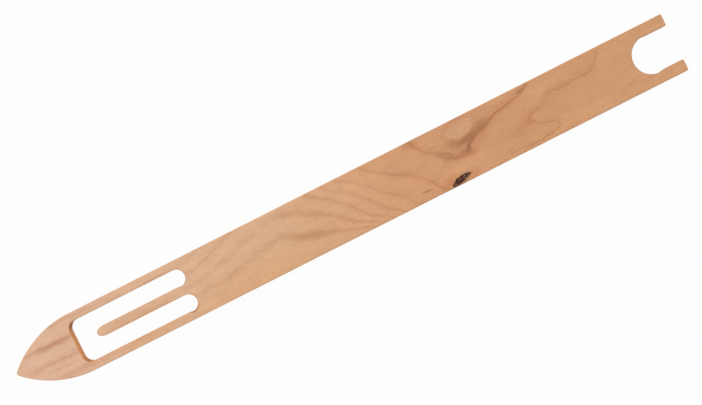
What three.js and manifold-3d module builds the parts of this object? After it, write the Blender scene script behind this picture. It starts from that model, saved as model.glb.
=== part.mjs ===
// A flat wooden weaving shuttle, sawn from one board: pointed at one end and forked at the other.
// Behind the point a window is cut through, and a tongue of the same wood stands in it.
// Yarn is looped round the tongue and through the fork, turn after turn.
//
// Millimetres. +X runs from the point to the fork, +Y across, +Z up out of the face.
// The origin is in the middle of the back face.

import * as THREE from 'three';
import { mergeVertices, toCreasedNormals } from 'three/addons/utils/BufferGeometryUtils.js';
import Module from 'manifold-3d';

// The board
const bladeLength = 469; // from the point to the ends of the fork
const bladeWidth = 40;
const bladeThickness = 6;
const edgeRadius = 0.8; // every edge is rubbed round

// The pointed end: each side is one long arc that runs on from the straight side
const pointArcRadius = 65;
const pointTipRadius = 2;

// The window and the tongue in it
const windowFromTip = 42.6; // solid wood in front of the window
const windowLength = 81;
const railWidth = 5.65; // wood left on either side of the window
const tongueWidth = 6.6;
const tongueNoseLength = 5; // the tongue ends in half an ellipse of this length
const throatLength = 14.6; // open space in front of the tongue

// The slots beside the tongue end in drilled holes, which also set the window's front corners.
// Each hole runs level with the +Y side of its slot and bites a little past the -Y side.
const drillBite = 0.4;

// The fork: a drilled hole, opened to the end of the board by a slightly narrower mouth
const forkHoleDiameter = 25;
const forkMouthWidth = 24;
const forkDepth = 29.3; // from the ends of the prongs to the bottom of the hole
const prongCornerFaceRadius = 0.2; // what the rounded edges leave of a prong's corner on the faces

// The knot: the dark base of a branch, in the lower edge, that the sound wood has closed round.
// Its two sides bow out from a straight line between its tips.
const knotLength = 16;
const knotUpperBulge = 3.3;
const knotLowerBulge = 0.4;
const knotFromFork = 161; // from the ends of the prongs to the middle of the line
const knotFromEdge = 1.9; // from the lower edge to the middle of the line
const knotTilt = 17; // degrees, rising towards the fork
const knotClearance = 0.3; // gap all round, so that the knot is a piece of its own

// How finely the curves are cut
const chordTolerance = 0.02; // furthest that a straight step may leave its curve
const edgeSteps = 3; // steps across each rounded edge
const cutMargin = 1; // how far a cutting shape stands out of the board

// Places and sizes that follow from these
const tipX = -bladeLength / 2;
const forkX = bladeLength / 2;
const halfWidth = bladeWidth / 2;
const windowFrontX = tipX + windowFromTip;
const slotEndX = windowFrontX + windowLength;
const tongueTipX = windowFrontX + throatLength;
const windowHalfWidth = halfWidth - railWidth;
const slotWidth = windowHalfWidth - tongueWidth / 2;
const drillRadius = (slotWidth + drillBite) / 2;
const forkHoleRadius = forkHoleDiameter / 2;
const forkHoleX = forkX - forkDepth + forkHoleRadius;
const prongCornerRadius = edgeRadius + prongCornerFaceRadius;

const paleWood = new THREE.MeshStandardMaterial({
  color: '#d3a078',
  roughness: 0.6,
  metalness: 0,
});
const knotWood = new THREE.MeshStandardMaterial({
  color: '#3d2a20',
  roughness: 0.85,
  metalness: 0,
});

const wasm = await Module();
wasm.setup();

// Points along an arc, or along part of an ellipse, between two angles in radians
function arc(x, y, radiusX, from, to, radiusY = radiusX) {
  const largestStep = 2 * Math.acos(1 - chordTolerance / Math.max(radiusX, radiusY));
  const steps = Math.ceil(Math.abs(to - from) / largestStep);
  const points = [];
  for (let i = 0; i <= steps; i += 1) {
    const angle = from + ((to - from) * i) / steps;
    points.push(new THREE.Vector2(x + radiusX * Math.cos(angle), y + radiusY * Math.sin(angle)));
  }
  return points;
}

// Upper half of the forked end: half of the hole, then the two corners of the prong
function forkCurve() {
  const mouthHalfWidth = forkMouthWidth / 2;
  const mouthAngle = Math.asin(mouthHalfWidth / forkHoleRadius);
  const cornerX = forkX - prongCornerRadius;
  return [
    ...arc(forkHoleX, 0, forkHoleRadius, Math.PI, mouthAngle),
    ...arc(cornerX, mouthHalfWidth + prongCornerRadius, prongCornerRadius, -Math.PI / 2, 0),
    ...arc(cornerX, halfWidth - prongCornerRadius, prongCornerRadius, 0, Math.PI / 2),
  ];
}

// Upper half of the pointed end: the side's long arc, then half of the small arc round the tip
function pointCurve() {
  const arcCentreY = halfWidth - pointArcRadius;
  const tipCentreX = tipX + pointTipRadius;
  const run = Math.sqrt((pointArcRadius - pointTipRadius) ** 2 - arcCentreY ** 2);
  const meetingAngle = Math.atan2(-arcCentreY, -run);
  return [
    ...arc(tipCentreX + run, arcCentreY, pointArcRadius, Math.PI / 2, meetingAngle),
    ...arc(tipCentreX, 0, pointTipRadius, meetingAngle, Math.PI).slice(1),
  ];
}

// The board's outline: the upper half from fork to point, and its mirror image back again
function bladeOutline() {
  const upperHalf = [...forkCurve(), ...pointCurve()];
  const lowerHalf = upperHalf
    .slice(1, -1)
    .reverse()
    .map((point) => new THREE.Vector2(point.x, -point.y));
  return new THREE.Shape([...upperHalf, ...lowerHalf]);
}

// The round end of the slot whose +Y side is at slotTopY, from its +Y side round to its -Y side
function drilledEnd(slotTopY) {
  const meetingAngle = Math.asin((drillRadius - drillBite) / drillRadius) - Math.PI;
  return arc(slotEndX - drillRadius, slotTopY - drillRadius, drillRadius, Math.PI / 2, meetingAngle);
}

// The window's outline: front corner, upper slot, round the tongue, lower slot, front corner
function windowOutline() {
  const cornerX = windowFrontX + drillRadius;
  const cornerY = windowHalfWidth - drillRadius;
  const noseX = tongueTipX + tongueNoseLength;
  const tongueTopY = tongueWidth / 2;
  return new THREE.Path([
    ...arc(cornerX, cornerY, drillRadius, Math.PI, Math.PI / 2),
    ...drilledEnd(windowHalfWidth),
    ...arc(noseX, 0, tongueNoseLength, Math.PI / 2, (3 * Math.PI) / 2, tongueTopY),
    ...drilledEnd(-tongueTopY),
    ...arc(cornerX, -cornerY, drillRadius, -Math.PI / 2, -Math.PI),
  ]);
}

// One bowed side of the knot, from its +X tip to its -X tip, bulging towards +Y
function bowedSide(bulge) {
  const halfLength = knotLength / 2;
  const radius = (halfLength ** 2 + bulge ** 2) / (2 * bulge);
  const halfAngle = Math.asin(halfLength / radius);
  return arc(0, bulge - radius, radius, Math.PI / 2 - halfAngle, Math.PI / 2 + halfAngle);
}

function knotOutline() {
  const upperSide = bowedSide(knotUpperBulge);
  const lowerSide = bowedSide(knotLowerBulge)
    .slice(1, -1)
    .reverse()
    .map((point) => new THREE.Vector2(point.x, -point.y));
  return new THREE.Shape([...upperSide, ...lowerSide]);
}

// A closed geometry as a solid, with the vertices that its faces share merged into one
function solid(geometry) {
  geometry.deleteAttribute('normal');
  geometry.deleteAttribute('uv');
  const merged = mergeVertices(geometry);
  return new wasm.Manifold(
    new wasm.Mesh({
      numProp: 3,
      vertProperties: merged.attributes.position.array,
      triVerts: new Uint32Array(merged.index.array),
    }),
  );
}

// The sawn board with all its edges rounded, still without the knot's hole
function boardSolid() {
  const outline = bladeOutline();
  outline.holes.push(windowOutline());
  const geometry = new THREE.ExtrudeGeometry(outline, {
    depth: bladeThickness - 2 * edgeRadius,
    bevelThickness: edgeRadius,
    bevelSize: edgeRadius,
    bevelOffset: -edgeRadius,
    bevelSegments: edgeSteps,
  });
  geometry.translate(0, 0, edgeRadius);
  return solid(geometry);
}

// The knot's outline grown by a clearance and run right through the board
function knotCutter(clearance) {
  const geometry = new THREE.ExtrudeGeometry(knotOutline(), {
    depth: bladeThickness + 2 * cutMargin,
    bevelThickness: 0,
    bevelSize: 0,
    bevelOffset: clearance,
    bevelSegments: 0,
  });
  geometry.rotateZ(THREE.MathUtils.degToRad(knotTilt));
  geometry.translate(forkX - knotFromFork, knotFromEdge - halfWidth, -cutMargin);
  return solid(geometry);
}

function namedMesh(name, manifold, material) {
  const { vertProperties, triVerts } = manifold.getMesh();
  const geometry = new THREE.BufferGeometry();
  geometry.setAttribute('position', new THREE.BufferAttribute(vertProperties, 3));
  geometry.setIndex(new THREE.BufferAttribute(triVerts, 1));
  const mesh = new THREE.Mesh(toCreasedNormals(geometry, Math.PI / 5), material);
  mesh.name = name;
  return mesh;
}

const board = boardSolid();
const shuttle = new THREE.Group();
shuttle.add(
  namedMesh('blade', board.subtract(knotCutter(knotClearance)), paleWood),
  namedMesh('edge_knot', board.intersect(knotCutter(0)), knotWood),
);

export default shuttle;
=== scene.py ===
import math

import bmesh
import bpy
from mathutils import Matrix, Vector, noise
from mathutils.geometry import tessellate_polygon


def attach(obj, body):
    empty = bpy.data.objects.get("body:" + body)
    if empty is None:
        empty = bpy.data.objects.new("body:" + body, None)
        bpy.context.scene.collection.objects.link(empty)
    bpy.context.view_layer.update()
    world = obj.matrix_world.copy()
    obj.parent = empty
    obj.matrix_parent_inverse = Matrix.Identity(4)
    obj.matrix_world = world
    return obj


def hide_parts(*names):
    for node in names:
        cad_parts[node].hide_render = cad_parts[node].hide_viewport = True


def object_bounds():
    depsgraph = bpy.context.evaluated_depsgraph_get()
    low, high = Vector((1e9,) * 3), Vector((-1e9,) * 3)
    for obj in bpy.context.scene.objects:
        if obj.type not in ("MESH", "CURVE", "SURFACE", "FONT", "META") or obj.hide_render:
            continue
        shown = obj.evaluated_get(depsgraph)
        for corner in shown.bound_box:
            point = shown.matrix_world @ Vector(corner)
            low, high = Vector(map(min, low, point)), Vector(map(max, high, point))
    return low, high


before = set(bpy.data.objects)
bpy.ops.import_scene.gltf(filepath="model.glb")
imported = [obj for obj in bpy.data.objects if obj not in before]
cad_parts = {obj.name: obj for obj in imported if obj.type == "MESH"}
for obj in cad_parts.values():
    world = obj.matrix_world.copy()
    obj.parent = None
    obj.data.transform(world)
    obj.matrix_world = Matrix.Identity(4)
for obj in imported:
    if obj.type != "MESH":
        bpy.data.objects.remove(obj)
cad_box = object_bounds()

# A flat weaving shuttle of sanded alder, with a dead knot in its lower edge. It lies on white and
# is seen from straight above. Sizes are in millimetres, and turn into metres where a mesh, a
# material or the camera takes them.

MM = 0.001

# The board, from the frame
TIP_X = cad_box[0].x / MM
FORK_X = cad_box[1].x / MM
HALF_WIDTH = cad_box[1].y / MM
THICKNESS = cad_box[1].z / MM

# The board's other sizes, as they are in the solid model
EDGE_RADIUS = 0.8
POINT_ARC_RADIUS = 65
POINT_TIP_RADIUS = 2
WINDOW_FROM_TIP = 42.6
WINDOW_LENGTH = 81
RAIL_WIDTH = 5.65
TONGUE_WIDTH = 6.6
TONGUE_NOSE_LENGTH = 5
THROAT_LENGTH = 14.6
DRILL_BITE = 0.4  # the drill is this much wider than a slot, and bites into what lies below it
FORK_HOLE_RADIUS = 12.5
FORK_MOUTH_WIDTH = 24
FORK_DEPTH = 29.3
PRONG_CORNER_RADIUS = 1.0

# How far the fork's drill and saw went off the middle line
FORK_HOLE_DRIFT = -0.4
FORK_MOUTH_DRIFT = -0.2

# The slight corners that the saw left where it ran into a drilled hole are sanded round
FORK_EASING = 16
SLOT_EASING = 5

# The knot: a straight line between its tips, and how far its two sides stand off that line
KNOT_CENTRE = Vector((FORK_X - 160.2, 2.1 - HALF_WIDTH))
KNOT_LENGTH = 14.4
KNOT_TILT = math.radians(17)
KNOT_UPPER_SIDE = [  # share of the length, mm
    (0, 1.8), (0.02, 2.35), (0.11, 2.4), (0.21, 2.85), (0.31, 3.25), (0.41, 3.4), (0.54, 3.2),
    (0.67, 2.7), (0.8, 2.05), (0.88, 1.55), (0.95, 0.8), (1, 0.15),
]
KNOT_LOWER_SIDE = [  # near its left end it breaks out of the board's side
    (0, 1.6), (0.03, 0.7), (0.06, -0.2), (0.09, -0.7), (0.2, -1.0), (0.24, -0.5), (0.28, -0.25),
    (0.35, -0.1), (0.42, -0.4), (0.5, -0.62), (0.62, -0.72), (0.69, -0.6), (0.75, -0.2), (0.8, -0.1),
    (0.9, -0.35), (1, -0.2),
]

# The camera looks straight down on the middle of the picture, which the shuttle crosses aslant
CAMERA_OVER = (4.5, 1.7)
CAMERA_ABOVE_FACE = 479
CAMERA_SEES_FROM = 10  # nothing nearer to the camera than this is drawn
PIXELS_PER_MM = 1.573
IMAGE_WIDTH = 702
SHUTTLE_TURN = math.radians(26.82)


def place_camera():
    camera = bpy.data.objects.new("camera", bpy.data.cameras.new("camera"))
    bpy.context.scene.collection.objects.link(camera)
    bpy.context.scene.camera = camera
    focal_pixels = PIXELS_PER_MM * CAMERA_ABOVE_FACE
    camera.data.lens = camera.data.sensor_width * focal_pixels / IMAGE_WIDTH
    camera.data.clip_start = CAMERA_SEES_FROM * MM
    camera.location = Vector((*CAMERA_OVER, THICKNESS + CAMERA_ABOVE_FACE)) * MM
    camera.rotation_euler.z = -SHUTTLE_TURN


place_camera()


# Outlines, each a ring of points with the wood on its left

ARC_STEP = 0.6  # about how far apart points are along an arc
ARC_LEAST_STEPS = 6
STRAIGHT_STEP = 2.0  # and at most along a straight run, so that the sanding can drift there too


def arc(x, y, radius, start, end, radius_y=None):
    """Points along an arc, or along part of an ellipse."""
    radius_y = radius_y or radius
    length = abs(end - start) * max(radius, radius_y)
    steps = max(ARC_LEAST_STEPS, round(length / ARC_STEP))
    turns = [start + (end - start) * i / steps for i in range(steps + 1)]
    return [Vector((x + radius * math.cos(t), y + radius_y * math.sin(t))) for t in turns]


def mirrored(points):
    """The same points on the other side of the middle line, in the order that carries on."""
    return [Vector((p.x, -p.y)) for p in reversed(points)]


def drilled_end(x, y, radius, start, wall, way, easing):
    """Round a drilled hole to the sawn wall that it opens into, which runs on one way along x."""
    side = math.copysign(1, wall - y)
    rise = wall + side * easing - y
    run = way * math.sqrt((radius + easing) ** 2 - rise**2)
    meeting = math.atan2(rise, run)
    eased = arc(x + run, y + rise, easing, meeting + math.pi, math.pi + side * math.pi / 2)
    return arc(x, y, radius, start, meeting) + eased[1:]


def half_board(side):
    """The board's outside on one side, from the bottom of the fork's hole to the point."""
    hole_x = FORK_X - FORK_DEPTH + FORK_HOLE_RADIUS
    hole_y = FORK_HOLE_DRIFT * side
    mouth = FORK_MOUTH_WIDTH / 2 + FORK_MOUTH_DRIFT * side
    corner = PRONG_CORNER_RADIUS
    corner_x = FORK_X - corner
    arc_y = HALF_WIDTH - POINT_ARC_RADIUS
    run = math.sqrt((POINT_ARC_RADIUS - POINT_TIP_RADIUS) ** 2 - arc_y**2)
    small_x = TIP_X + POINT_TIP_RADIUS
    meeting = math.atan2(-arc_y, -run)
    points = drilled_end(hole_x, hole_y, FORK_HOLE_RADIUS, math.pi, mouth, 1, FORK_EASING)
    points += arc(corner_x, mouth + corner, corner, -math.pi / 2, 0)
    points += arc(corner_x, HALF_WIDTH - corner, corner, 0, math.pi / 2)
    points += arc(small_x + run, arc_y, POINT_ARC_RADIUS, math.pi / 2, meeting)
    return points + arc(small_x, 0, POINT_TIP_RADIUS, meeting, math.pi)[1:]


def board_ring():
    """The board's outside, from the fork along the upper side to the point, and back."""
    return half_board(1) + mirrored(half_board(-1))[1:-1]


def window_ring():
    """The window, from its front corner along the upper slot, round the tongue, and back."""
    front = TIP_X + WINDOW_FROM_TIP
    half = HALF_WIDTH - RAIL_WIDTH
    tongue = TONGUE_WIDTH / 2
    drill = (half - tongue + DRILL_BITE) / 2
    hole_x = front + WINDOW_LENGTH - drill
    nose_x = front + THROAT_LENGTH + TONGUE_NOSE_LENGTH
    ring = arc(front + drill, half - drill, drill, math.pi, math.pi / 2)
    ring += drilled_end(hole_x, half - drill, drill, math.pi / 2, tongue, -1, SLOT_EASING)
    ring += arc(nose_x, 0, TONGUE_NOSE_LENGTH, math.pi / 2, 1.5 * math.pi, tongue)
    ring += drilled_end(hole_x, -tongue - drill, drill, math.pi / 2, -half, -1, SLOT_EASING)
    ring += arc(front + drill, drill - half, drill, -math.pi / 2, -math.pi)
    return ring


def stepped(ring):
    """The ring with its straight runs cut into short steps."""
    points = []
    for here, there in zip(ring, ring[1:] + ring[:1]):
        pieces = max(1, math.ceil((there - here).length / STRAIGHT_STEP))
        points += [here.lerp(there, i / pieces) for i in range(pieces)]
    return points


def steps_into_wood(ring):
    """For each point of a ring, the step that takes it one millimetre into the wood."""
    steps = []
    for before, here, after in zip(ring[-1:] + ring[:-1], ring, ring[1:] + ring[:1]):
        first = (here - before).normalized().orthogonal()
        second = (after - here).normalized().orthogonal()
        steps.append((first + second) / (1 + first.dot(second)))
    return steps


# Meshes


def join_rows(bm, below, above):
    """Skins the space between two closed rows of corners."""
    for i in range(len(below)):
        j = (i + 1) % len(below)
        bm.faces.new((below[i], below[j], above[j], above[i]))


def fill_flat(bm, rows):
    """Fills a flat face with triangles. Its first row goes round it, and others round its holes."""
    corners = [vert for row in rows for vert in row]
    for triangle in tessellate_polygon([[vert.co for vert in row] for row in rows]):
        bm.faces.new([corners[i] for i in triangle])


def finished_mesh(bm, name):
    """Turns every face outward and gives the mesh."""
    bmesh.ops.recalc_face_normals(bm, faces=bm.faces)
    mesh = bpy.data.meshes.new(name)
    bm.to_mesh(mesh)
    bm.free()
    return mesh


def shade_smooth(mesh, crease):
    """Shades a mesh smooth, but for edges where two faces turn by more than the crease."""
    mesh.shade_smooth()
    mesh.set_sharp_from_angle(angle=crease)


def new_piece(name, mesh):
    piece = bpy.data.objects.new(name, mesh)
    bpy.context.scene.collection.objects.link(piece)
    return piece


# The board

EDGE_STEPS = 7
SHOULDER_STEPS = 3
SHOULDER_WIDTH = 1.1  # the sandpaper has eased the faces this far in from every edge
SHOULDER_DROP = 0.08
LEAST_SHOULDER = 0.05  # the share of those two that is left where the board is kept crisp
FACE_BORDER = 0.1  # a flat border inside the shoulder, which keeps the faces' shading flat
SANDING_REACH = 22.0  # how far along an edge the hand sanding stays about the same
EDGE_DRIFT = 0.3  # how much the rounding changes, as a share of its radius
SIDE_SANDED = 0.005  # how deep the sanding has gone into the sides, at least
SIDE_DRIFT = 0.08  # and how much deeper it has gone in places
SQUARE_LENGTH = 10.0  # the prongs' small corners and the point are kept crisp over this length
BLADE_CREASE = math.radians(18)  # edges that turn by more than this look sharp


def edge_profile(radius, shoulder, side_in):
    """From the back face round to the top face: how far in and how high each line lies."""
    width = SHOULDER_WIDTH * shoulder
    drop = SHOULDER_DROP * shoulder
    slope = math.atan2(2 * drop, width)
    shoulder_in = side_in + radius * (1 - math.sin(slope))
    curve = [(shoulder_in + width + FACE_BORDER, 0)]
    for i in range(SHOULDER_STEPS):
        share = 1 - i / SHOULDER_STEPS
        curve.append((shoulder_in + width * share, drop * (1 - share) ** 2))
    for i in range(EDGE_STEPS + 1):
        turn = slope + (math.pi / 2 - slope) * i / EDGE_STEPS
        fall = drop + radius * (math.cos(slope) - math.cos(turn))
        curve.append((side_in + radius * (1 - math.sin(turn)), fall))
    return curve + [(inset, THICKNESS - fall) for inset, fall in reversed(curve)]


def add_rounded_side(bm, ring):
    """Skins a ring's side and rounded edges. Gives the rows where the two faces begin."""
    columns = []
    for point, step in zip(ring, steps_into_wood(ring)):
        freedom = min(1, (FORK_X - point.x) / SQUARE_LENGTH)
        shoulder = max(LEAST_SHOULDER, min(freedom, (point.x - TIP_X) / SQUARE_LENGTH))
        drift = noise.noise(Vector((*point, 0)) / SANDING_REACH) * freedom
        # How deep the side is sanded comes from another level of the noise than the edge's drift.
        depth = max(0, 0.5 + noise.noise(Vector((*point, SANDING_REACH)) / SANDING_REACH)) * freedom
        sanded = SIDE_SANDED + SIDE_DRIFT * depth
        profile = edge_profile(EDGE_RADIUS * (1 + EDGE_DRIFT * drift), shoulder, sanded)
        columns.append([
            bm.verts.new(Vector((*(point + step * inset), rise)) * MM) for inset, rise in profile
        ])
    for here, there in zip(columns, columns[1:] + columns[:1]):
        for k in range(len(here) - 1):
            bm.faces.new((here[k], there[k], there[k + 1], here[k + 1]))
    return [column[0] for column in columns], [column[-1] for column in columns]


def board_mesh():
    """The sawn and sanded board, before the knot's place is opened in it."""
    bm = bmesh.new()
    outside_rows = add_rounded_side(bm, stepped(board_ring()))
    window_rows = add_rounded_side(bm, stepped(window_ring()))
    for rows in zip(outside_rows, window_rows):
        fill_flat(bm, rows)
    # Only the two flat faces are made of triangles. Well-shaped ones take a clean cut.
    flat = [face for face in bm.faces if len(face.verts) == 3]
    within = [edge for edge in bm.edges if all(len(face.verts) == 3 for face in edge.link_faces)]
    bmesh.ops.beautify_fill(bm, faces=flat, edges=within)
    return finished_mesh(bm, "alder_blade")


# The knot and the hole that it lies in

KNOT_SLICES = 72
KNOT_LANES = 22
KNOT_LAYERS = 10
KNOT_WOBBLE = 0.35  # how far its outline strays from the two sides
KNOT_WOBBLE_REACH = 1.6
KNOT_WOBBLE_APART = 5  # how far off the middle, in the noise, each side's wobble is taken
KNOT_GAP = 0.07  # the crack all round, between bark and sound wood
KNOT_SWELL = 0.06  # below the faces it swells by this much, and all but fills the crack
KNOT_SWELL_BY = 0.15  # over this share of the board's thickness
KNOT_SHRUNK = 0.12  # how far the dry knot has shrunk below the faces and the board's side
KNOT_RIM_SINK = 0.28  # and how much deeper at its rim, near which it slopes down
KNOT_RIM_SLOPE = 0.17  # how wide that slope is, as a share of the knot's width
KNOT_TIP_SLOPE = KNOT_RIM_SLOPE / 3  # and at its tips, as a share of its length
KNOT_RIDGES = (3.0, 0.6, 0.14)  # torn fibres: their length, width and height
KNOT_CRUMBS = (0.45, 0.07)  # loose bark: how wide and how high a crumb is
KNOT_SIDE_WOBBLE = (1.4, 0.1)  # how far apart the waves in its outer side are, and their depth
KNOT_CREASE = math.radians(50)
PLUG_STANDS_OUT = 1.0  # how far the plug that cuts its place stands out of both faces


def side_at(side, share):
    """How far a side of the knot stands off the line between the tips."""
    for (start, first), (end, last) in zip(side, side[1:]):
        if share <= end:
            return first + (last - first) * (share - start) / (end - start)


def knot_point(share, lane, gap=0.0):
    """A point of the knot, seen from above, in the board's own place. The share is of its length,
    from its lower left tip, and the lane is of the way from its lower side to its upper one."""
    along = (share - 0.5) * (KNOT_LENGTH - 2 * gap)
    ragged = KNOT_WOBBLE * math.sin(math.pi * share)
    upper = side_at(KNOT_UPPER_SIDE, share) - gap
    lower = side_at(KNOT_LOWER_SIDE, share) + gap
    upper += ragged * noise.noise(Vector((along, KNOT_WOBBLE_APART, 0)) / KNOT_WOBBLE_REACH)
    lower += ragged * noise.noise(Vector((along, -KNOT_WOBBLE_APART, 0)) / KNOT_WOBBLE_REACH)
    point = Vector((along, lower + (upper - lower) * lane))
    point.rotate(Matrix.Rotation(KNOT_TILT, 2))
    return KNOT_CENTRE + point


def knot_outline(gap):
    """The knot's outline, drawn in by a gap, from its lower left tip and back."""
    shares = [i / KNOT_SLICES for i in range(KNOT_SLICES + 1)]
    lower = [knot_point(share, 0, gap) for share in shares]
    upper = [knot_point(share, 1, gap) for share in reversed(shares)]
    return lower + upper


def knot_cutter():
    """A plug a little larger than the knot that stands out of both faces."""
    bm = bmesh.new()
    back, top = (
        [bm.verts.new(Vector((*point, level)) * MM) for point in knot_outline(-KNOT_GAP)]
        for level in (-PLUG_STANDS_OUT, THICKNESS + PLUG_STANDS_OUT)
    )
    join_rows(bm, back, top)
    fill_flat(bm, [back])
    fill_flat(bm, [top])
    return finished_mesh(bm, "knot_cutter")


def make_blade():
    """The board with the knot's place cut through it."""
    blade = new_piece("alder_blade", board_mesh())
    cutter = new_piece("knot_cutter", knot_cutter())
    hole = blade.modifiers.new("knot_hole", "BOOLEAN")
    hole.object = cutter
    hole.operation = "DIFFERENCE"
    hole.solver = "EXACT"
    cut = bpy.data.meshes.new_from_object(blade.evaluated_get(bpy.context.evaluated_depsgraph_get()))
    blade.modifiers.remove(hole)
    blade.data = cut
    bpy.data.objects.remove(cutter)
    shade_smooth(cut, BLADE_CREASE)
    return blade


def knot_surface(share, lane):
    """How far the dry knot lies below the face: deepest at its rim, and ridged along its fibres."""
    point = knot_point(share, lane)
    from_side = min(lane, 1 - lane) / KNOT_RIM_SLOPE
    from_tip = min(share, 1 - share) / KNOT_TIP_SLOPE
    rim = 1 - min(1, from_side, from_tip)
    fibre_length, fibre_width, ridge_height = KNOT_RIDGES
    along = point @ Vector((math.cos(KNOT_TILT), math.sin(KNOT_TILT)))
    across = point @ Vector((-math.sin(KNOT_TILT), math.cos(KNOT_TILT)))
    ridges = 0.5 + 0.5 * noise.noise(Vector((along / fibre_length, across / fibre_width, 0)))
    crumb_width, crumb_height = KNOT_CRUMBS
    crumbs = noise.noise(Vector((*point, 0)) / crumb_width)
    return KNOT_SHRUNK + KNOT_RIM_SINK * rim**2 + ridge_height * ridges + crumb_height * crumbs


def knot_lies_at(share, lane, level):
    """A point on the knot: level 0 is its back, 1 its top. Its outer side follows the board's."""
    swell = KNOT_SWELL * min(1, min(level, 1 - level) / KNOT_SWELL_BY)
    point = knot_point(share, lane, -swell)
    sink = knot_surface(share, lane)
    wave_length, wave_depth = KNOT_SIDE_WOBBLE
    waves = noise.noise(Vector((point.x, 0, level * THICKNESS)) / wave_length)
    point.y = max(point.y, KNOT_SHRUNK + wave_depth * waves - HALF_WIDTH)
    from_side = min(EDGE_RADIUS, point.y + HALF_WIDTH)
    rounded = EDGE_RADIUS - math.sqrt(EDGE_RADIUS**2 - (EDGE_RADIUS - from_side) ** 2)
    top = THICKNESS - rounded - sink
    return Vector((*point, rounded + sink + (top - rounded - sink) * level)) * MM


def make_knot():
    """A rough lens of dead wood: two pitted faces and the skin between them."""
    bm = bmesh.new()

    def corner(i, j, level):
        return bm.verts.new(knot_lies_at(i / KNOT_SLICES, j / KNOT_LANES, level))

    sheets = [
        [[corner(i, j, level) for j in range(KNOT_LANES + 1)] for i in range(KNOT_SLICES + 1)]
        for level in (0, 1)
    ]
    for sheet in sheets:
        for i in range(KNOT_SLICES):
            for j in range(KNOT_LANES):
                bm.faces.new((sheet[i][j], sheet[i + 1][j], sheet[i + 1][j + 1], sheet[i][j + 1]))
    rim = [(i, 0) for i in range(KNOT_SLICES)] + [(KNOT_SLICES, j) for j in range(KNOT_LANES)]
    rim += [(KNOT_SLICES - i, KNOT_LANES) for i in range(KNOT_SLICES)]
    rim += [(0, KNOT_LANES - j) for j in range(KNOT_LANES)]
    layers = [[sheets[0][i][j] for i, j in rim]]
    layers += [[corner(i, j, k / KNOT_LAYERS) for i, j in rim] for k in range(1, KNOT_LAYERS)]
    layers.append([sheets[1][i][j] for i, j in rim])
    for below, above in zip(layers, layers[1:]):
        join_rows(bm, below, above)
    mesh = finished_mesh(bm, "bark_knot")
    shade_smooth(mesh, KNOT_CREASE)
    return new_piece("bark_knot", mesh)


# Materials

# How finely a noise breaks up
SMOOTH = {"Detail": 2}
RAGGED = {"Detail": 3, "Roughness": 0.6}


def linear(hex_colour):
    """An sRGB hex value as the linear colour that the nodes take."""
    channels = [int(hex_colour[i : i + 2], 16) / 255 for i in (1, 3, 5)]
    return [c / 12.92 if c <= 0.04045 else ((c + 0.055) / 1.055) ** 2.4 for c in channels] + [1]


def add(tree, kind, inputs=None, stops=None, curve=None, **settings):
    """Adds a node. An input takes a value, a socket, or a node, which gives its first output."""
    made = tree.nodes.new("ShaderNode" + kind)
    for name, value in settings.items():
        setattr(made, name, value)
    if stops:
        ramp = made.color_ramp.elements
        while len(ramp) < len(stops):
            ramp.new(1)
        for element, (position, hex_colour) in zip(ramp, stops):
            element.position = position
            element.color = linear(hex_colour)
    if curve:
        made.mapping.use_clip = False
        points = made.mapping.curves[0].points
        while len(points) < len(curve):
            points.new(0, 0)
        for point, place in zip(points, curve):
            point.location = place
            point.handle_type = "AUTO_CLAMPED"
        made.mapping.update()
    live = [socket for socket in made.inputs if socket.enabled]
    for key, value in (inputs or {}).items():
        socket = live[key] if isinstance(key, int) else next(s for s in live if s.name == key)
        if isinstance(value, bpy.types.Node):
            value = next(output for output in value.outputs if output.enabled)
        if isinstance(value, bpy.types.NodeSocket):
            tree.links.new(value, socket)
        else:
            socket.default_value = value
    return made


def new_material(name):
    material = bpy.data.materials.new(name)
    material.use_nodes = True
    material.node_tree.nodes.clear()
    return material, material.node_tree


def patch(tree, place, centre, reach, turn=0.0):
    """An oval patch in the wood: 1 in its middle, easing to 0 at its reach."""
    framed = add(tree, "Mapping", {
        "Vector": place, "Location": (*centre, 0), "Rotation": (0, 0, math.radians(turn)), "Scale": reach,
    }, vector_type="TEXTURE")
    distance = add(tree, "VectorMath", {0: framed}, operation="LENGTH")
    return add(tree, "MapRange", {"Value": distance, "To Min": 1, "To Max": 0},
               interpolation_type="SMOOTHSTEP")


def washed(tree, colour, washes):
    """Lays thin washes of colour over a colour, each where its mask is 1."""
    for mask, hex_wash in washes:
        colour = add(tree, "Mix", {"Factor": mask, "A": colour, "B": linear(hex_wash)},
                     data_type="RGBA", blend_type="MULTIPLY")
    return colour


def stained_and_shaded(tree, colour, place, stains_and_shade, where):
    """Lays each patch of a list over a colour, in the part of the surface that is asked for:
    discoloured wood, and painted shade on the window's walls.
    """
    for centre, reach, turn, strength, hex_patch in stains_and_shade:
        spread = patch(tree, place, centre, reach, turn)
        spread = add(tree, "Math", {0: spread, 1: strength}, operation="MULTIPLY")
        spread = add(tree, "Math", {0: spread, 1: where}, operation="MULTIPLY")
        colour = add(tree, "Mix", {"Factor": spread, "A": colour, "B": linear(hex_patch)},
                     data_type="RGBA")
    return colour


# The alder

# It is flat sawn: its growth layers lie almost level in the board, so the top face cuts through
# them in long loops. Layers are counted, and each whole number is the dark end of a year's growth.
# The points of the curves are listed one by one, and lie closest together where a loop turns.

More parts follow.
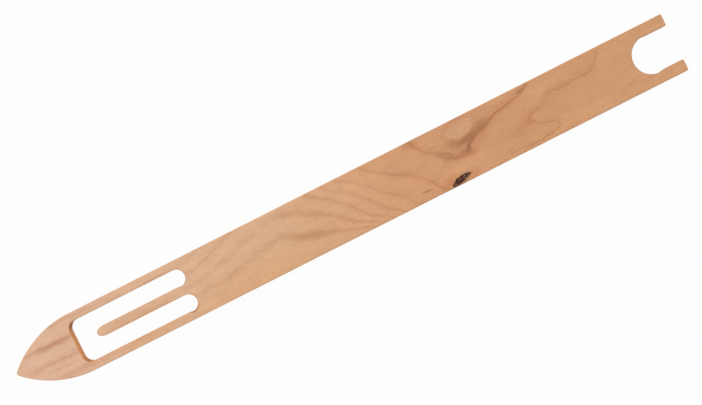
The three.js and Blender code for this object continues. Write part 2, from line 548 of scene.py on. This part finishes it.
LAYERS_ALONG = [  # along the middle line: mm from the middle, layers
    (-234.5, 1.36), (-190, 1.42), (-110, 1.0), (-85, 0.54), (-58, 0.02), (-48, -0.09), (-36, 0.12),
    (-23, 0.5), (-10.6, 1.0), (2, 2.0), (13, 3.0), (24, 3.98), (36, 4.66), (44, 4.98), (51, 5.2),
    (61, 5.66), (65.7, 5.84), (69.5, 6.0), (73, 6.07), (78, 6.15), (83, 6.18), (86.5, 6.08),
    (88.5, 5.98), (92, 5.9), (98, 5.79), (101, 5.76), (110, 5.49), (116, 5.37), (120, 5.28), (125, 5.2),
    (131, 5.05), (136, 4.94), (142, 4.83), (146, 4.74), (151.5, 4.64), (163, 4.69), (172, 4.64),
    (184, 4.66), (192, 4.6), (205, 4.45), (234.5, 4.45),
]
LAYERS_ACROSS = [  # mm from the middle, layers more for each mm towards the upper edge
    (-234.5, 0.09), (-190, 0.09), (-110, 0.13), (-80, 0.093), (-60, 0.075), (-46, 0.073),
    (-30, 0.065), (-4, 0.088), (20, 0.082), (36, 0.062), (44, 0.047), (52, 0.041), (62, 0.038),
    (90, 0.038), (110, 0.05), (120, 0.057), (131, 0.063), (136, 0.061), (142, 0.05), (175, 0.048),
    (180, 0.04), (183, 0.032), (186, 0.02), (192, 0.01), (205, 0), (234.5, 0),
]
LAYERS_PER_MM_DEEP = 0.3
THROUGH = 1e4  # a reach that goes right through the board
SWELLINGS = [  # where buried branches lift or press down the layers: centre, reach, layers
    ((86, 12), (16, 8.6, THROUGH), 2.0),
    ((137, -13.9), (30, 9.2, THROUGH), 1.08),
    ((119, -14), (36, 13, THROUGH), 0.5),
    ((4, -22), (38, 12, THROUGH), -1.5),
    ((0, 17), (18, 9, THROUGH), 0.45),
    ((178, -16), (34, 10, THROUGH), 0.6),
    ((127.5, -5.8), (9, 7, THROUGH), 0.22),
    ((135.5, -7), (10, 5.5, THROUGH), 0.17),
]
# One year's growth, from the middle of one layer to the middle of the next: its thin dark end, and
# the soft brown shade on both sides of that
LAYER_LINE = [(0, 0), (0.41, 0), (0.47, 0.45), (0.51, 1), (0.57, 0.5), (0.65, 0.1), (0.72, 0), (1, 0)]
LAYER_SHADE = [(0, 0), (0.12, 0), (0.3, 0.25), (0.42, 0.75), (0.52, 1), (0.66, 0.7), (0.86, 0.12), (1, 0)]
LINE_STRENGTH = [  # layers, how strong the line is there
    (-0.9, 0), (-0.2, 0.05), (1, 0.1), (2, 0.35), (3, 0.35), (4, 0.3), (5, 0.45), (5.5, 0.3),
    (5.9, 0.1), (5.96, 0.4), (6.01, 0.65), (6.06, 0.4), (6.12, 0.1), (6.6, 0), (7, 0.15), (7.4, 0), (9, 0),
]
SHADE_STRENGTH = [  # the same for the shade
    (-0.9, 0), (-0.2, 0.9), (0.4, 0.8), (1, 0.7), (2, 0.45), (3, 0.35), (4, 0.3), (5, 0.3),
    (5.7, 0.25), (5.9, 0.3), (6.0, 0.4), (6.1, 0.4), (6.25, 0.3), (6.45, 0.15), (6.7, 0), (9, 0),
]
FIGURE = [  # mm from the middle, how strong the lines are there
    (-234.5, 0.9), (-195, 0.9), (-160, 0.5), (-110, 0.5), (-80, 0.55), (-60, 0.5), (-42, 0.75),
    (-30, 0.9), (60, 1), (68, 1.05), (84, 1.15), (87, 2), (90, 2), (93, 1.4), (102, 1.6), (110, 1.2),
    (120, 1.15), (126, 1.3), (134, 1.3), (146, 0.9), (176, 0.8), (186, 0.5), (234.5, 0.5),
]
WAVER = (6, 4.4, 0.6)  # how far the layers stray, in mm along, across and deep
WAVER_REACH = 7
FEATHER = 1.6  # how far single fibres carry a line across, in mm for a whole step of noise
FADING_REACH = 22  # lines fade and darken over this length
FADING = {"From Min": 0.35, "From Max": 0.6, "To Min": 0.4}  # of a line, 0.4 is always left
# Length along the board and width, in mm, and how much lighter or darker
BUNDLES = (24, 1.7, 0.16)  # bundles of fibres
FIBRES = (7, 0.8, 0.13)  # drawn many times coarser than they are, so that they show
FLECKS = (2.4, 1.3, 0.2)  # the ends of fibres and fine pores, drawn coarser too
CLOUDS = (14, 8, 0.18)
GRAIN_DEPTH = 0.3  # how far grain noise swings to either side of 0
ALDER_TONES = [  # share of the length from the point, colour
    (0.02, "#E2B698"), (0.18, "#DEB392"), (0.4, "#DBAE88"), (0.53, "#D7A278"), (0.6, "#D39B70"),
    (0.74, "#CF976C"), (1.0, "#CF9A6E"),
]
YELLOWER_WOOD = ((-70, -20), (100, 26, THROUGH))  # centre, reach
YELLOWER_WASH = "#FDF5E8"
SHADE_WASH = "#EBD9D0"
LINE_WASH = "#DAC4B8"
END_GRAIN_WASH = "#FCE4BC"
ROUNDED_WASH = "#FEF5E4"
STAINS = [  # centre, reach, turn in degrees, strength (above 1 the edge is firmer), colour
    ((-207, 6.2), (24, 3.4, 5), -2, 0.6, "#B1734E"),  # the brown streak in the point
    ((-203, -9.6), (19, 1.5, 5), 0, 0.3, "#C08D68"),  # a fainter one below it
    ((-29, -5.2), (22, 4.2, 5), -20, 0.65, "#B9855E"),  # the brown band behind the slots
    ((-152, -9), (42, 17, THROUGH), 0, 1, "#D7A376"),  # golden wood in the tongue and the lower rail
    ((54, 17), (8, 6, 5), -20, 0.35, "#A8683F"),  # dark where the loop meets the upper edge
    ((132.5, 17), (8, 2.2, 5), 4, 0.55, "#98583A"),  # and where it leaves it
    ((72, 1.2), (11, 3.2, 5), -37, 0.4, "#9A6546"),  # the loop's side and bottom
    ((73, 1.8), (9, 1.0, 5), -36, 0.35, "#96603F"),
    ((84.3, -1.9), (6.8, 4.6, 5), -12, 0.52, "#98654A"),
    ((86.3, -1.6), (3.0, 4.2, 5), 12, 0.3, "#8E5F45"),
    ((86, 11), (23, 14, 9), 4, 0.3, "#B87C54"),  # darker wood inside the loop
    ((86.2, 10.5), (14, 9.6, 9), 3, 3, "#C48A5F"),
    ((93.5, 6.1), (20, 5.2, 9), 18, 0.66, "#965D3A"),
    ((79.6, 4.7), (12, 3.8, 5), -13, 0.5, "#A0653F"),  # rings pressed together below the branch
    ((86, 3.8), (7, 0.9, 5), -2, 0.35, "#8F5838"),
    ((84.8, 1.6), (6, 1.2, 5), 12, 0.4, "#CF9A76"),
    ((86.8, 12.9), (11.9, 7.1, 9), 0, 5, "#D29D76"),  # the pale eye of the buried branch
    ((88, 18.6), (16, 5, 5), 0, 0.4, "#BC7A50"),  # darker wood between it and the edge
    ((86, -4.6), (14, 4.4, 5), 0, 0.75, "#B97850"),  # redder wood below the loop's corner
    ((97.5, 1.6), (13, 3.4, 5), 20, 0.35, "#BC7C54"),  # and along its right side
    ((82, -8.5), (24, 6, 6), 4, 0.4, "#E0A978"),  # pale wood over the knot
    ((100, -18.4), (30, 4.5, 5), 0, 0.4, "#DDA87A"),  # and beside it, along the lower edge
    ((164, -16), (40, 10, 5), 0, 0.35, "#DDA87A"),
    ((143, 12.4), (15, 6.5, 5), 0, 0.45, "#DFAC80"),  # and towards the fork, above the middle
    ((117, 17.8), (14, 2.6, 5), 0, 0.35, "#DFAC80"),
    ((67, -15.5), (12, 5.5, THROUGH), 14, 0.75, "#C98350"),  # resin that has spread from the knot
    ((83.5, -17.2), (8, 3.8, THROUGH), 0, 0.6, "#C68153"),
    ((76, -12.2), (9, 2.8, THROUGH), 8, 0.5, "#DDA274"),
    ((197, -11.3), (9, 1.1, 5), 15, 0.35, "#AE7650"),  # a faint line up to the fork
]
MARKS = [  # the same, for what doesn't follow the grain
    ((51.2, -14), (5.8, 0.9, 1), -7, 0.75, "#8E5A38"),  # a short check
    ((74.3, -17.1), (9.8, 3.8, THROUGH), 17, 1, "#6A3A24"),  # wood stained by the knot's bark
    ((-113.6, -14.2), (5, 1.6, 5), 30, 0.7, "#A0643E"),  # darker beside the lower slot's end
]
# Painted shade on the window's walls: deep in its upper front corner, under the upper rail, lighter in its
# lower front corner, and darker at the lower slot's end
PAINTED_WINDOW_SHADE = [  # the same, for the window's sides
    ((-190.2, 12.7), (4.4, 4.4, THROUGH), 0, 0.8, "#93603E"),
    ((-190.2, -12.7), (4.8, 4.8, THROUGH), 0, 0.6, "#A66C40"),
    ((-115.5, -15.3), (4.5, 1.6, THROUGH), 20, 0.8, "#9C5C38"),
]


def growth_layers(tree, place):
    """Which growth layer each place lies in, counted upwards."""
    x, y, z = add(tree, "SeparateXYZ", {0: place}).outputs
    along = add(tree, "FloatCurve", {"Value": x}, curve=LAYERS_ALONG)
    across = add(tree, "FloatCurve", {"Value": x}, curve=LAYERS_ACROSS)
    layers = add(tree, "Math", {0: y, 1: across, 2: along}, operation="MULTIPLY_ADD")
    layers = add(tree, "Math", {0: z, 1: LAYERS_PER_MM_DEEP, 2: layers}, operation="MULTIPLY_ADD")
    for centre, reach, rise in SWELLINGS:
        swelling = patch(tree, place, centre, reach)
        layers = add(tree, "Math", {0: swelling, 1: rise, 2: layers}, operation="MULTIPLY_ADD")
    return layers


def grain_noise(tree, place, length, width):
    """Noise drawn out along the board, from about -GRAIN_DEPTH to GRAIN_DEPTH. Each length is
    taken at a depth of its own, so that no two kinds of grain are alike."""
    drawn = add(tree, "Mapping", {"Vector": place, "Location": (0, 0, length),
                                  "Scale": (1 / length, 1 / width, 1 / width)})
    fibres = add(tree, "TexNoise", {"Vector": drawn, "Scale": 1, **SMOOTH})
    return add(tree, "Math", {0: fibres, 1: 0.5}, operation="SUBTRACT")


def alder_colour(tree, place, strayed, facing, fibres):
    """Pinkish tan, paler and pinker in the point, with brown growth lines, discoloured patches
    and fibres, and painted shade on the window's walls.
    """
    x = add(tree, "SeparateXYZ", {0: place}).outputs["X"]
    share = add(tree, "MapRange", {"Value": x, "From Min": TIP_X, "From Max": FORK_X})
    colour = add(tree, "ValToRGB", {0: share}, stops=ALDER_TONES)
    washes = [(patch(tree, place, *YELLOWER_WOOD), YELLOWER_WASH)]
    feathered = add(tree, "CombineXYZ", {"Y": fibres})
    feathered = add(tree, "VectorMath", {0: feathered, 1: (0, FEATHER, 0), 2: strayed},
                    operation="MULTIPLY_ADD")
    layers = growth_layers(tree, feathered)
    year = add(tree, "Math", {0: layers, 1: 0.5}, operation="ADD")
    year = add(tree, "Math", {0: year}, operation="FRACT")
    fading = add(tree, "TexNoise", {"Vector": place, "Scale": 1 / FADING_REACH, **SMOOTH})
    fading = add(tree, "MapRange", {"Value": fading, **FADING})
    figure = add(tree, "FloatCurve", {"Value": x}, curve=FIGURE)
    fading = add(tree, "Math", {0: fading, 1: figure}, operation="MULTIPLY")
    for profile, strengths, wash in (
        (LAYER_SHADE, SHADE_STRENGTH, SHADE_WASH), (LAYER_LINE, LINE_STRENGTH, LINE_WASH),
    ):
        drawn = add(tree, "FloatCurve", {"Value": year}, curve=profile)
        strength = add(tree, "FloatCurve", {"Value": layers}, curve=strengths)
        strength = add(tree, "Math", {0: strength, 1: fading}, operation="MULTIPLY")
        washes.append((add(tree, "Math", {0: drawn, 1: strength}, operation="MULTIPLY"), wash))
    colour = washed(tree, colour, washes)
    colour = stained_and_shaded(tree, colour, strayed, STAINS, 1)
    colour = stained_and_shaded(tree, colour, place, MARKS, 1)
    # painted shade on the window's walls
    colour = stained_and_shaded(tree, colour, place, PAINTED_WINDOW_SHADE, facing["rounded"])

    tone = add(tree, "Math", {0: fibres, 1: FIBRES[2], 2: 1}, operation="MULTIPLY_ADD")
    for length, width, depth in (BUNDLES, FLECKS, CLOUDS):
        drawn = grain_noise(tree, strayed, length, width)
        tone = add(tree, "Math", {0: drawn, 1: depth, 2: tone}, operation="MULTIPLY_ADD")
    colour = add(tree, "HueSaturation", {"Color": colour, "Value": tone})
    return washed(tree, colour, [
        (facing["end_grain"], END_GRAIN_WASH), (facing["rounded"], ROUNDED_WASH),
    ])


# A surface is end grain where it faces along the board, from a little to squarely, and rounded
# where it no longer faces straight up or down
END_GRAIN = {"From Min": 0.2, "From Max": 0.8}
ROUNDED = {"From Min": 0.998, "From Max": 0.9}
OILED_ROUGHNESS = {"To Min": 0.44, "To Max": 0.56}  # from the deepest fibre to the highest
ROUGHER_THAN_FACES = {"rounded": -0.06, "end_grain": 0.2}
FIBRE_RELIEF = 0.06
FIBRE_RELIEF_SHOWS = 0.5  # as a share of that
OILED_SPECULAR = 0.3


def alder():
    """Alder, planed, sanded fine and oiled: warm and silky, with hardly any shine. The end grain
    has drunk more oil, so it is browner and duller, and hands have polished the rounded edges."""
    material, tree = new_material("oiled_alder")
    own = add(tree, "TexCoord")
    place = add(tree, "Mapping", {"Vector": own.outputs["Object"], "Location": (0, 0, -THICKNESS),
                                  "Scale": (1 / MM, 1 / MM, 1 / MM)})
    waver = add(tree, "TexNoise", {"Vector": place, "Scale": 1 / WAVER_REACH, **RAGGED})
    waver = add(tree, "VectorMath", {0: waver.outputs["Color"], 1: (0.5, 0.5, 0.5)}, operation="SUBTRACT")
    strayed = add(tree, "VectorMath", {0: waver, 1: WAVER, 2: place}, operation="MULTIPLY_ADD")
    outward = add(tree, "VectorMath", {0: own.outputs["Normal"]}, operation="ABSOLUTE")
    outward = add(tree, "SeparateXYZ", {0: outward}).outputs
    facing = {
        "end_grain": add(tree, "MapRange", {"Value": outward["X"], **END_GRAIN},
                         interpolation_type="SMOOTHSTEP"),
        "rounded": add(tree, "MapRange", {"Value": outward["Z"], **ROUNDED}),
    }
    fibres = grain_noise(tree, strayed, FIBRES[0], FIBRES[1])
    colour = alder_colour(tree, place, strayed, facing, fibres)
    roughness = add(tree, "MapRange", {"Value": fibres, "From Min": -GRAIN_DEPTH,
                                       "From Max": GRAIN_DEPTH, **OILED_ROUGHNESS})
    for where, rougher in ROUGHER_THAN_FACES.items():
        roughness = add(tree, "Math", {0: facing[where], 1: rougher, 2: roughness},
                        operation="MULTIPLY_ADD")
    bump = add(tree, "Bump", {"Height": fibres, "Distance": FIBRE_RELIEF * MM,
                              "Strength": FIBRE_RELIEF_SHOWS})
    shader = add(tree, "BsdfPrincipled", {"Base Color": colour, "Roughness": roughness,
                                          "Specular IOR Level": OILED_SPECULAR, "Normal": bump})
    add(tree, "OutputMaterial", {"Surface": shader})
    return material


# The knot's dead wood

DEAD_FIBRES = (2.0, 0.55, 0.55)  # how long and thick a torn tuft of them is
# The bark's own near black and paler torn fibres, with painted shade deepening the hollows
DEAD_TONES_AND_HOLLOW_SHADE = [  # from the deepest crumb to the highest
    (0.28, "#1E0E08"), (0.46, "#341C12"), (0.54, "#62402F"), (0.66, "#9E765E"),
]
DEAD_ROUGHNESS = {"To Min": 0.95, "To Max": 0.7}
CRUMB_RELIEF = 0.2
CRUMB_RELIEF_SHOWS = 0.8  # as a share of that
DEAD_SPECULAR = 0.15


def dead_knot():
    """Dead knot wood with bark in it: near black, dry and crumbly, with paler torn fibres. Its
    hollows are darkened further as painted shade.
    """
    material, tree = new_material("bark_and_dead_wood")
    own = add(tree, "TexCoord")
    place = add(tree, "Mapping", {
        "Vector": own.outputs["Object"], "Rotation": (0, 0, KNOT_TILT),
        "Scale": [size * MM for size in DEAD_FIBRES],
    }, vector_type="TEXTURE")
    crumbs = add(tree, "TexNoise", {"Vector": place, "Scale": 1, **RAGGED})
    colour = add(tree, "ValToRGB", {0: crumbs}, stops=DEAD_TONES_AND_HOLLOW_SHADE)
    roughness = add(tree, "MapRange", {"Value": crumbs, **DEAD_ROUGHNESS})
    bump = add(tree, "Bump", {"Height": crumbs, "Distance": CRUMB_RELIEF * MM,
                              "Strength": CRUMB_RELIEF_SHOWS})
    shader = add(tree, "BsdfPrincipled", {"Base Color": colour, "Roughness": roughness,
                                          "Specular IOR Level": DEAD_SPECULAR, "Normal": bump})
    add(tree, "OutputMaterial", {"Surface": shader})
    return material


# The white ground and the light

FLOOR_REACH = 1500  # from its middle to each of its four corners
FLOOR_DROP = 0.1  # keeps the floor's skin clear of the board's
FLOOR_SHARE_WHITE = 0.95  # the camera sees the floor nearly white, with a trace of the shadow
OFF_WHITE = "#F0F0F0"
WHITE = "#FFFFFF"
SKY = 0.78  # how bright the sky alone makes white paper that lies level
KEY = 0.18  # and the key light alone
KEY_HEIGHT = math.radians(45)
KEY_FROM = math.radians(90)  # from beyond the board's upper edge
KEY_SOFTNESS = math.radians(50)


def seen_directly(tree):
    """1 for what the camera sees, also by reflection or through glass, and 0 for light."""
    ray = add(tree, "LightPath")
    seen = ray.outputs["Is Camera Ray"]
    for way in ("Is Glossy Ray", "Is Transmission Ray"):
        seen = add(tree, "Math", {0: seen, 1: ray.outputs[way]}, operation="MAXIMUM")
    return seen


def lay_floor():
    mesh = bpy.data.meshes.new("floor")
    turns = [math.radians(turn) for turn in (45, 135, 225, 315)]
    corners = [Vector((FLOOR_REACH, 0)) @ Matrix.Rotation(turn, 2) for turn in turns]
    mesh.from_pydata([Vector((*corner, -FLOOR_DROP)) * MM for corner in corners], [], [(0, 1, 2, 3)])
    floor = new_piece("floor", mesh)
    material, tree = new_material("white_ground")
    white_share = add(tree, "Math", {0: seen_directly(tree), 1: FLOOR_SHARE_WHITE}, operation="MULTIPLY")
    matt = add(tree, "BsdfDiffuse", {"Color": linear(OFF_WHITE)})
    white = add(tree, "Emission", {"Color": linear(WHITE), "Strength": 1})
    shader = add(tree, "MixShader", {"Fac": white_share, 1: matt, 2: white})
    add(tree, "OutputMaterial", {"Surface": shader})
    mesh.materials.append(material)


def light_sky():
    world = bpy.data.worlds.new("white_sky")
    world.use_nodes = True
    tree = world.node_tree
    tree.nodes.clear()
    strength = add(tree, "MapRange", {"Value": seen_directly(tree), "To Min": SKY, "To Max": 1})
    sky = add(tree, "Background", {"Color": linear(WHITE), "Strength": strength})
    add(tree, "OutputWorld", {"Surface": sky})
    bpy.context.scene.world = world


def hang_key_light():
    lamp = bpy.data.lights.new("key_light", "SUN")
    lamp.angle = KEY_SOFTNESS
    lamp.energy = KEY * math.pi / math.sin(KEY_HEIGHT)
    key = bpy.data.objects.new("key_light", lamp)
    key.rotation_euler = (math.pi / 2 - KEY_HEIGHT, 0, KEY_FROM + math.pi / 2)
    bpy.context.scene.collection.objects.link(key)


# The scene

lay_floor()
light_sky()
hang_key_light()
bpy.context.scene.view_settings.view_transform = "Standard"

blade = make_blade()
blade.data.materials.append(alder())
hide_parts("blade")
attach(blade, "root")

knot = make_knot()
knot.data.materials.append(dead_knot())
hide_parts("edge_knot")
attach(knot, "root")
